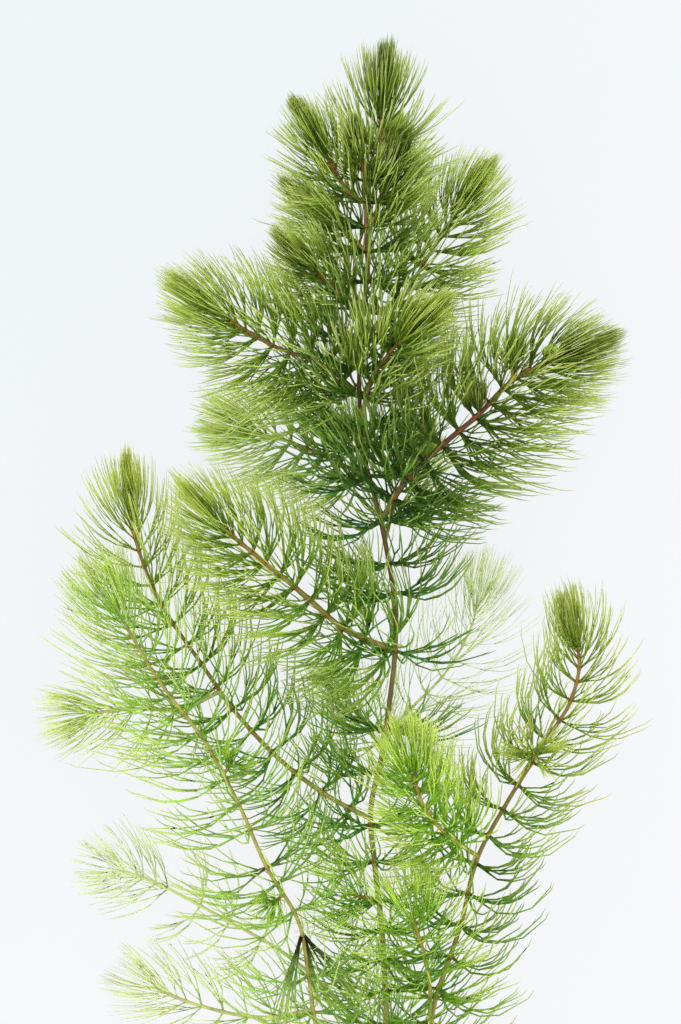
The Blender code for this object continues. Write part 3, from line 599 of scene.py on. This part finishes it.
# One whorl's leaves: the values of the growth curve there times the shoot's own, with chance.
def growWhorl(shoot, stem, number, rng):
    s, look = stem["whorls"][number], whorlLook
    far = (stem["length"] - s) / mm * look["fullLeaf"] / shoot["leaf"]
    here = {key: np.interp(far, growth["far"], values) for key, values in growth.items()}
    height = np.interp(s, stem["places"], stem["line"][:, 1]) / mm + sprig["middle"][1]
    pose = whorlPoses["hanging" if isNear(height, shoot["drooping"]) else "open"]
    small = far < look["budReach"]
    count = shoot["bud"]
    if not small:
        count = (look["leaves"] + rng.integers(-1, 2)) * shoot["full"]
        count = max(look["fewest"], round(count * np.interp(far, *look["thinned"]))) + pose["leaves"]

    turn = np.arange(count) * 2 * math.pi / count + number * look["twist"]
    turn = turn + rng.normal(0, chance["turn"], count)
    turn = turn - look["flatness"] * np.sin(2 * turn)
    tilt = rng.normal(0, chance["tilt"])
    loose = min(1.0, look["firstLoose"] + far / look["looser"])
    wide = shoot["wide"] * min(1.0, far / look["wideFull"])
    claw = shoot["claw"] * min(1.0, far / look["clawFull"])
    soft = fall(far, shoot["soft"], look["softReach"]) * rng.uniform(*chance["soft"], count)
    (wideFoot, clawFoot, softFoot), (wideTip, clawTip, softTip) = look["bends"]
    foot = here["footAngle"] + wide * wideFoot + claw * clawFoot + soft * softFoot + pose["foot"]
    foot = foot + (tilt + rng.normal(0, chance["foot"], count)) * loose * pose["stray"]
    tip = here["tipAngle"] + wide * wideTip + claw * clawTip + soft * softTip + pose["tip"]
    tip = tip + (tilt + rng.normal(0, chance["tip"], count)) * loose
    length = shoot["leaf"] * mm * here["length"] * rng.uniform(*chance["length"], count)
    sway = rng.normal(0, chance["sway"], count) * loose
    parting = (here["parting"] * pose["parting"] * shoot["parting"]
               * rng.uniform(*chance["parting"], count))

    ripe = rise(s / stem["length"], 1, look["ripe"])
    tone = shoot["tone"] + (shoot["footTone"] - shoot["tone"]) * (1 - ripe)
    strayed = np.interp(far, (0, look["looser"]), chance["tone"])
    tone = (tone + rng.normal(0, strayed, count) + fall(far, *colouring["young"])
            - colouring["older"] + pose["tone"])
    gold = fall(far, shoot["gold"], colouring["gold"]) * rng.uniform(*chance["gold"], count)
    wilt = rng.uniform(*chance["wilt"], count) * isNear(height, shoot["wilted"])
    budShadeMost, budShadeReach = colouring["budShade"]
    whorl = dict(
        s=s, small=small, turn=turn, foot=np.radians(foot), tip=np.radians(tip), length=length,
        sway=sway, parting=parting, fine=shoot["fine"] * pose["width"] * here["width"],
        tone=np.clip(tone, 0, 1), gold=np.clip(gold, 0, 1), wilt=wilt,
        top=(1 - fall(far, *colouring["shut"]) - rise(far, *colouring["worn"])
             - rise(far, shoot["dusk"], colouring["dusk"])),
        # The bud's painted shade: whole on bud leaves, fading out on the young leaves near the bud.
        budShade=(1 if small else budShadeMost * math.exp(-(far / budShadeReach) ** 2)) * shoot["budShade"],
        fresh=fall(far, shoot["fresh"], colouring["fresh"]),
        old=rise((stem["length"] - s) / mm, shoot["aged"], colouring["aged"]),
        pallor=shoot["pallor"], paling=shoot["paling"])
    return {key: np.broadcast_to(value, count) for key, value in whorl.items()}


# All the leaves of a shoot, in a batch for each template. A leaf points outward along the cosine
# of its turn times one direction across the stem plus the sine times the other.
def growShoot(name):
    shoot, stem = shoots[name], stems[name]
    rng = np.random.default_rng(sprig["shootSeed"] + list(shoots).index(name))
    leaves = joinParts([growWhorl(shoot, stem, i, rng) for i in range(len(stem["whorls"]))], "s")
    s, turn = leaves["s"], leaves["turn"][:, None]
    forward, across = read(stem, "heading", s), read(stem, "across", s)
    across = unit(across - forward * (across * forward).sum(1, keepdims=True))
    outward = np.cos(turn) * across + np.sin(turn) * np.cross(forward, across)
    inStem = (stemRadius(name, s) * whorlLook["inStem"])[:, None]
    leaves.update(forward=forward, outward=outward, base=read(stem, "line", s) + outward * inStem)
    which = rng.integers(0, leafLook["variants"], len(s))
    batches = []
    for small, templates in enumerate((bigLeaves, budLeaves)):
        for k, template in enumerate(templates):
            pick = (which == k) & (leaves["small"] == small)
            if pick.any():
                chosen = {key: values[pick] for key, values in leaves.items()}
                chosen["one"] = rng.random(pick.sum())
                batches.append(placeLeaves(template, chosen))
    return batches


# The leaves' own map has a cell for each leaf: across it runs the way round a thread, and up it
# the way from foot to tips. A corner's way round is counted on from its face's first corner, so
# that no face is folded over.
leafMap = {"rows": 4, "edge": 0.1}


def mapLeaves(whole):
    rows, edge = leafMap["rows"], leafMap["edge"]
    leaf = np.repeat(np.arange(len(whole["sizes"])), whole["sizes"])
    columns = math.ceil(len(whole["sizes"]) / rows)
    corners = []
    for part, steps in ((whole["quads"], (0, 1, 1, 0)), (whole["caps"], (0, 1, 0.5))):
        first = part[:, :1]
        around = (whole["side"][first] + np.array(steps)) / leafLook["sides"]
        u = (leaf[first] % columns + edge + (1 - 2 * edge) * around) / columns
        v = (leaf[first] // columns + edge / 4 + (1 - edge / 2) * whole["share"][part]) / rows
        corners.append(np.stack([u, v], -1).reshape(-1, 2))
    return np.concatenate(corners)


# The stems' own map: a strip for each, its length across and the way round it up. An end cap is
# a small disc at its end.
stemMap = {"margin": 0.02, "edge": 0.1, "disc": (0.01, 0.3)}


def mapStems(whole, strip):
    sides, margin, edge = stemLook["sides"], stemMap["margin"], stemMap["edge"]
    discLong, discWide = stemMap["disc"]
    quads, caps, count = whole["quads"], whole["caps"], strip[-1] + 1
    place = margin + (1 - 2 * margin) * whole["place"]
    around = (quads[:, :1] % sides + np.array((0, 1, 1, 0))) / sides
    walls = np.stack([place[quads], (strip[quads] + edge + (1 - 2 * edge) * around) / count], -1)
    angle = 2 * math.pi * (caps % sides) / sides
    ends = np.stack([place[caps] + discLong * np.cos(angle),
                     (strip[caps] + 0.5 + discWide * np.sin(angle)) / count], -1)
    return np.concatenate([walls.reshape(-1, 2), ends.reshape(-1, 2)])


# Puts points, faces, named point values and the map for baking into a mesh.
def makeMesh(name, whole, valueNames, bakeMap):
    mesh = bpy.data.meshes.new(name)
    faces = (whole["quads"], whole["caps"])
    corners = np.concatenate([f.ravel() for f in faces])
    sizes = np.concatenate([np.full(len(f), f.shape[1]) for f in faces])
    mesh.vertices.add(len(whole["points"]))
    mesh.vertices.foreach_set("co", whole["points"].ravel().astype(np.float32))
    mesh.loops.add(len(corners))
    mesh.loops.foreach_set("vertex_index", corners.astype(np.int32))
    mesh.polygons.add(len(sizes))
    starts = np.concatenate([[0], np.cumsum(sizes)[:-1]])
    mesh.polygons.foreach_set("loop_start", starts.astype(np.int32))
    mesh.polygons.foreach_set("use_smooth", np.ones(len(sizes), bool))
    mesh.update(calc_edges=True)
    layer = mesh.uv_layers.new(name="OFBake")
    layer.uv.foreach_set("vector", bakeMap.ravel().astype(np.float32))
    for key in valueNames:
        layer = mesh.attributes.new(key, "FLOAT", "POINT")
        layer.data.foreach_set("value", whole[key].astype(np.float32))
    mesh.validate()
    item = bpy.data.objects.new(name, mesh)
    bpy.context.scene.collection.objects.link(item)
    print(name, (sizes - 2).sum(), "triangles")
    return item


# A new, empty material and its node tree.
def newMaterial(name):
    material = bpy.data.materials.new(name)
    material.use_nodes = True
    tree = material.node_tree
    tree.nodes.clear()
    return material, tree


# Adds a shader node and gives back one of its outputs. An input is a value or such an output.
def addNode(tree, kind, inputs=(), output=0, **settings):
    node = tree.nodes.new("ShaderNode" + kind)
    for key, value in settings.items():
        setattr(node, key, value)
    for key, value in dict(inputs).items():
        if isinstance(value, bpy.types.NodeSocket):
            tree.links.new(value, node.inputs[key])
        else:
            node.inputs[key].default_value = value
    return node.outputs[output] if node.outputs else None


# A point value of the mesh, by its name.
def readValue(tree, name):
    return addNode(tree, "Attribute", output="Fac", attribute_name=name)


# The first value times the second.
def times(tree, first, second):
    return addNode(tree, "Math", {0: first, 1: second}, operation="MULTIPLY")


# A value moved evenly from one span to another, and held at the ends.
def remap(tree, value, start, end):
    return addNode(tree, "MapRange", {"Value": value, "From Min": start[0], "From Max": start[1],
                                      "To Min": end[0], "To Max": end[1]})


# The first colour with the factor's share of the second one over it.
def mixColour(tree, factor, first, second, blend="MIX"):
    return addNode(tree, "Mix", {0: factor, 6: first, 7: second}, 2,
                   data_type="RGBA", blend_type=blend)


# A colour that changes evenly from stop to stop.
def ramp(tree, factor, stops):
    ramped = addNode(tree, "ValToRGB", {"Fac": factor})
    points = ramped.node.color_ramp.elements
    while len(points) < len(stops):
        points.new(0.5)
    for point, (place, colour) in zip(points, stops):
        point.position = place
        point.color = (*colour, 1)
    return ramped


# A noise that is fixed to the object.
def noise(tree, scale, detail):
    place = addNode(tree, "TexCoord", output="Object")
    return addNode(tree, "TexNoise", {"Vector": place, "Scale": scale, "Detail": detail}, "Fac")


# A glossy surface with small bumps.
def surface(tree, colour, height, look):
    bump = addNode(tree, "Bump", {
        "Height": height, "Strength": look["bump"], "Distance": look["bumpDepth"]})
    return addNode(tree, "BsdfPrincipled", {
        "Base Color": colour, "Roughness": look["roughness"],
        "Specular IOR Level": look["specular"], "Normal": bump})


# The ramps run from a leaf's foot to its tips.
leafFinish = {
    "darkRamp": ((0.0, (0.03, 0.09, 0.003)), (0.4, (0.15, 0.275, 0.01)),
                 (0.68, (0.49, 0.64, 0.1)), (1.0, (0.88, 0.945, 0.43))),
    "paleRamp": ((0.0, (0.26, 0.63, 0.03)), (0.4, (0.54, 0.88, 0.07)),
                 (0.72, (0.82, 0.975, 0.21)), (1.0, (0.93, 0.99, 0.4))),
    "goldRamp": ((0.0, (0.13, 0.22, 0.008)), (0.4, (0.38, 0.49, 0.045)),
                 (0.66, (0.74, 0.81, 0.165)), (1.0, (0.955, 0.97, 0.48))),
    "old": (0.018, 0.27, 0.055, 1),
    "oldMost": 0.75,  # the most of that a leaf takes
    # Painted shade: the dark olive that stands in for the light a dense bud's leaves block.
    "budShade": (0.12, 0.205, 0.03, 1),
    "budShadeFade": ((0.6, 1.0), (1.0, 0.05)),  # how much of the painted shade shows, from foot to tips
    "pallor": (0.86, 0.97, 0.5, 1),
    "wilt": (0.05, 0.028, 0.008, 1),
    "wiltFade": ((0.08, 0.32), (1.0, 0.0)),
    "patches": (160.0, 3.0),  # a noise's scale and detail
    "shade": ((0.3, 0.7), (0.8, 1.22)),  # lighter and darker patches
    "specks": (420.0, 2.0),
    "speckEdge": ((0.7, 0.75), (0.0, 1.0)),
    "paleSpecks": 0.045,  # how many more a faded leaf has
    "speck": (0.035, 0.022, 0.01, 1),
    "bump": 0.15,
    "bumpDepth": 0.0002,
    "roughness": 0.42,
    "specular": 0.08,
    "through": 0.72,  # the share of light that passes through,
    "throughGamma": 0.45,  # and how much paler its colour is
}


# The leaves' colour: the dark ramp mixed with the pale one by tone and the gold one by gold, then
# with the old tint, painted bud shade, fading and wilt by their shares, patches and specks.
def leafMaterial():
    look = leafFinish
    material, tree = newMaterial("hornwortLeaf")
    along, tone, golden, budShade, old, one, pallor, wilt = (readValue(tree, key) for key in leafValues)
    dark, pale, gold = (ramp(tree, along, look[key]) for key in ("darkRamp", "paleRamp", "goldRamp"))
    colour = mixColour(tree, tone, dark, pale)
    colour = mixColour(tree, golden, colour, gold)
    oldShare = times(tree, times(tree, old, one), look["oldMost"])
    # Painted shade of the dense bud, strongest at the leaves' feet.
    budShadeShare = times(tree, budShade, remap(tree, along, *look["budShadeFade"]))
    wiltShare = times(tree, wilt, remap(tree, along, *look["wiltFade"]))
    for share, key in ((oldShare, "old"), (budShadeShare, "budShade"), (pallor, "pallor"), (wiltShare, "wilt")):
        colour = mixColour(tree, share, colour, look[key])
    patches, specks = noise(tree, *look["patches"]), noise(tree, *look["specks"])
    colour = mixColour(tree, 1.0, colour, remap(tree, patches, *look["shade"]), "MULTIPLY")
    dirt = addNode(tree, "Math", {0: pallor, 1: look["paleSpecks"], 2: specks},
                   operation="MULTIPLY_ADD")
    colour = mixColour(tree, remap(tree, dirt, *look["speckEdge"]), colour, look["speck"])
    solid = surface(tree, colour, patches, look)
    passed = addNode(tree, "Gamma", {"Color": colour, "Gamma": look["throughGamma"]})
    glow = addNode(tree, "BsdfTranslucent", {"Color": passed})
    both = addNode(tree, "MixShader", {0: look["through"], 1: solid, 2: glow})
    addNode(tree, "OutputMaterial", {"Surface": both})
    return material


# The ramp runs from the tip of a stem to its foot.
stemFinish = {
    "ageRamp": ((0.0, (0.28, 0.2, 0.04)), (0.15, (0.15, 0.05, 0.016)),
                (0.45, (0.085, 0.033, 0.012)), (0.68, (0.215, 0.175, 0.045)),
                (0.85, (0.32, 0.315, 0.075)), (1.0, (0.34, 0.35, 0.085))),
    "young": (0.37, 0.32, 0.045, 1),
    "knot": (0.34, 0.075, 0.016, 1),
    "oldKnots": ((0.2, 1.0), (0.9, 0.75)),  # how much of the red shows, by age
    "youngKnots": ((0.0, 1.0), (1.0, 0.55)),  # and by tone
    "pallor": (0.62, 0.72, 0.3, 1),
    "grain": (300.0, 4.0),
    "shade": ((0.3, 0.7), (0.72, 1.25)),
    "bump": 0.3,
    "bumpDepth": 0.0002,
    "roughness": 0.38,
    "specular": 0.3,
}


# The stems' colour: the ramp by age mixed with the young colour by tone, then with the red knots
# at the whorls, the fading and the grain.
def stemMaterial():
    look = stemFinish
    material, tree = newMaterial("hornwortStem")
    age, knot, tone, pallor = (readValue(tree, key) for key in stemValues)
    colour = mixColour(tree, tone, ramp(tree, age, look["ageRamp"]), look["young"])
    knotShare = times(tree, knot, remap(tree, age, *look["oldKnots"]))
    knotShare = times(tree, knotShare, remap(tree, tone, *look["youngKnots"]))
    colour = mixColour(tree, knotShare, colour, look["knot"])
    colour = mixColour(tree, pallor, colour, look["pallor"])
    grain = noise(tree, *look["grain"])
    colour = mixColour(tree, 1.0, colour, remap(tree, grain, *look["shade"]), "MULTIPLY")
    addNode(tree, "OutputMaterial", {"Surface": surface(tree, colour, grain, look)})
    return material


# Each piece of foliage: the shoots whose leaves it holds, and the CAD solids it stands for unless
# they are named as the shoots are.
foliage = {
    "leaves_main_stem": (["main_stem"], "main_stem_base", "main_stem_low", "main_stem_middle",
                         "main_stem_high", "main_stem_crown", "main_stem_tip"),
    "leaves_top_buds": (["top_left_shoot", "top_dark_bud", "top_right_bud", "top_back_bud"],),
    "leaves_upper_left": (["high_left_shoot", "left_front_shoot"],),
    "leaves_upper_right": (["high_right_shoot", "right_front_shoot"],),
    "leaves_big_left": (["big_left_shoot"],),
    "leaves_pale_left": (["pale_left_shoot", "back_bud", "back_left_bud"],),
    "leaves_big_right": (
        ["big_right_shoot", "big_right_back_twig", "big_right_front_twig", "big_right_small_bud"],
        "big_right_shoot_low", "big_right_shoot_tip", "big_right_back_twig",
        "big_right_front_twig", "big_right_small_bud"),
    "leaves_pale_right": (["pale_right_shoot"],),
    "leaves_middle_left": (["middle_left_shoot"],),
    "leaves_long_left": (["long_left_shoot"], "long_left_shoot_low", "long_left_shoot_tip"),
    "leaves_far_left": (["far_left_shoot"],),
    "leaves_outer_left": (
        ["outer_left_stem", "outer_left_back_bud", "outer_left_front_bud"],
        "outer_left_stem_low", "outer_left_stem_middle", "outer_left_stem_tip",
        "outer_left_back_bud", "outer_left_front_bud"),
    "leaves_low_left": (["low_left_back_shoot", "low_left_shoot"],),
    "leaves_right": (["right_stem", "right_front_bud"],
                     "right_stem_low", "right_stem_tip", "right_front_bud"),
    "leaves_bright_front": (["bright_front_shoot"],),
    "leaves_pale_back": (["pale_right_back_shoot", "pale_back_shoot"],),
    "leaves_low_middle": (["lower_middle_shoot", "short_left_shoot"],),
}

leafGreen = leafMaterial()
for pieceName, (members, *nodes) in foliage.items():
    whole = joinParts([batch for name in members for batch in growShoot(name)], "points")
    piece = makeMesh(pieceName, whole, leafValues, mapLeaves(whole))
    piece.data.materials.append(leafGreen)
    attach(piece, "root")
    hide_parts(*(nodes or members))

stemBrown = stemMaterial()
for pieceName, members in (("stem_main", list(stems)[:1]), ("stems_side", list(stems)[1:])):
    parts = [stemTube(name) for name in members]
    whole = joinParts(parts, "points")
    strip = np.repeat(np.arange(len(parts)), [len(part["points"]) for part in parts])
    piece = makeMesh(pieceName, whole, stemValues, mapStems(whole, strip))
    piece.data.materials.append(stemBrown)
    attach(piece, "root")

# The stage: a plain pale floor that glows a little, as over a light table, and soft light.
stage = {
    "floorSize": 3.0,
    "floorDrop": 0.0002,  # m below the leaves
    "floorColour": (0.05, 0.05, 0.05, 1),
    "floorRoughness": 0.9,
    "cornerGlow": ((0.789, 0.828, 0.855, 1), (0.849, 0.854, 0.88, 1)),  # far left, near right
    "glowSpan": (-0.2, 0.1),  # m, where they are along the slant x - y
    "sky": (0.975, 0.99, 1.0, 1),
    "skyStrength": 1.25,
    "keyWatts": 2.0,
    "keySize": 1.2,
    "keyPlace": (-0.45, 0.35, 0.9),
}
bpy.ops.mesh.primitive_plane_add(size=stage["floorSize"], location=(0, 0, -stage["floorDrop"]))
floor = bpy.context.object
floor.name = "floor"
paper, tree = newMaterial("paleFloor")
place = addNode(tree, "TexCoord", output="Object")
slant = addNode(tree, "VectorMath", {0: place, 1: (1.0, -1.0, 0.0)}, "Value", operation="DOT_PRODUCT")
share = remap(tree, slant, stage["glowSpan"], (0.0, 1.0))
glow = mixColour(tree, share, *stage["cornerGlow"])
diffuse = addNode(tree, "BsdfPrincipled", {
    "Base Color": stage["floorColour"], "Roughness": stage["floorRoughness"],
    "Emission Color": glow, "Emission Strength": 1.0})
addNode(tree, "OutputMaterial", {"Surface": diffuse})
floor.data.materials.append(paper)

world = bpy.data.worlds.new("softSky")
bpy.context.scene.world = world
world.use_nodes = True
backdrop = world.node_tree.nodes["Background"]
backdrop.inputs["Color"].default_value = stage["sky"]
backdrop.inputs["Strength"].default_value = stage["skyStrength"]

lamp = bpy.data.lights.new("softKey", "AREA")
lamp.shape = "DISK"
lamp.size = stage["keySize"]
lamp.energy = stage["keyWatts"]
key = bpy.data.objects.new("softKey", lamp)
key.location = stage["keyPlace"]
keyX, keyY, keyZ = stage["keyPlace"]
key.rotation_euler = (math.atan2(math.hypot(keyX, keyY), keyZ), 0, math.atan2(keyX, -keyY))
bpy.context.scene.collection.objects.link(key)

# The camera looks straight down with the tip away, and takes in the photo's 681 x 1024 frame.
view = {
    "pixelsPerMm": 3.75,
    "frame": (681, 1024),
    "zeroPixel": (337.0, 582.0),  # where the routes' own zero lies in the frame
    "focusHeight": 26.0,  # mm, the main stem's height, where the scale is exact
    "distance": 1.2,  # m
    "sensor": 24.0,  # mm
    "clipStart": 0.01,  # m
}
camera = bpy.data.cameras.new("camera")
camera.sensor_fit = "VERTICAL"
camera.sensor_height = view["sensor"]
tall = view["frame"][1] / view["pixelsPerMm"] * mm
camera.lens = view["sensor"] / 2 / (tall / 2 / view["distance"])
camera.clip_start = view["clipStart"]
eye = bpy.data.objects.new("camera", camera)
eye.location = (
    ((view["frame"][0] / 2 - view["zeroPixel"][0]) / view["pixelsPerMm"] - sprig["middle"][0]) * mm,
    ((view["zeroPixel"][1] - view["frame"][1] / 2) / view["pixelsPerMm"] - sprig["middle"][1]) * mm,
    view["focusHeight"] * mm + view["distance"])
bpy.context.scene.collection.objects.link(eye)
bpy.context.scene.camera = eye
bpy.context.scene.view_settings.view_transform = "Standard"
